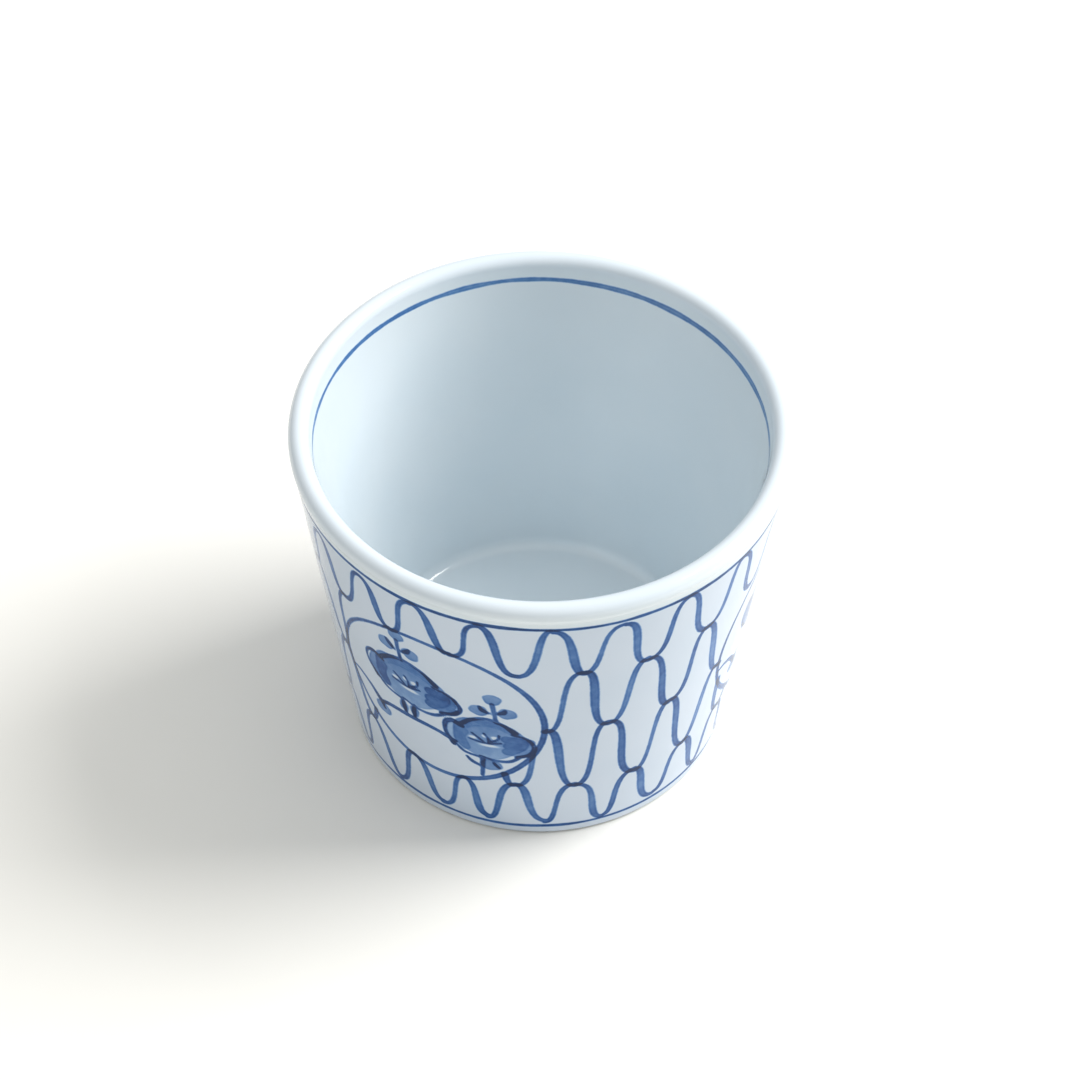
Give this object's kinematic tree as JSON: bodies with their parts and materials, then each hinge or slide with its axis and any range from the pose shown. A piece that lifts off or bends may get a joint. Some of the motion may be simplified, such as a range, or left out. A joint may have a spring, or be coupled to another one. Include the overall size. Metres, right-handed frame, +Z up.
{
  "type": "teacup",
  "caption": "Straight-sided porcelain teacup without a handle, with a rolled rim, cobalt bands under clear glaze and a bare resting foot.",
  "frame": {"origin": "middle of the foot's resting face, on the cup's turning axis", "axes": "+Z up along the turning axis, out of the cup's mouth; +X and +Y are any two level directions at right angles, because the cup is round"},
  "size_m": [0.082, 0.082, 0.0678],
  "materials": {
    "bare_porcelain": "matt unglazed biscuit, seen only where the foot rests",
    "glazed_porcelain": "smooth clear glaze over white clay, glossy, faintly blue",
    "cobalt_blue": "brushed cobalt pigment under clear glaze, glossy"
  },
  "bodies": {
    "root": {"porcelain_body": "bare_porcelain", "glaze_coat": "glazed_porcelain", "foot_recess_glaze": "glazed_porcelain", "inner_rim_line": "cobalt_blue", "upper_border_line": "cobalt_blue", "lower_border_line": "cobalt_blue"}
  },
  "joints": []
}
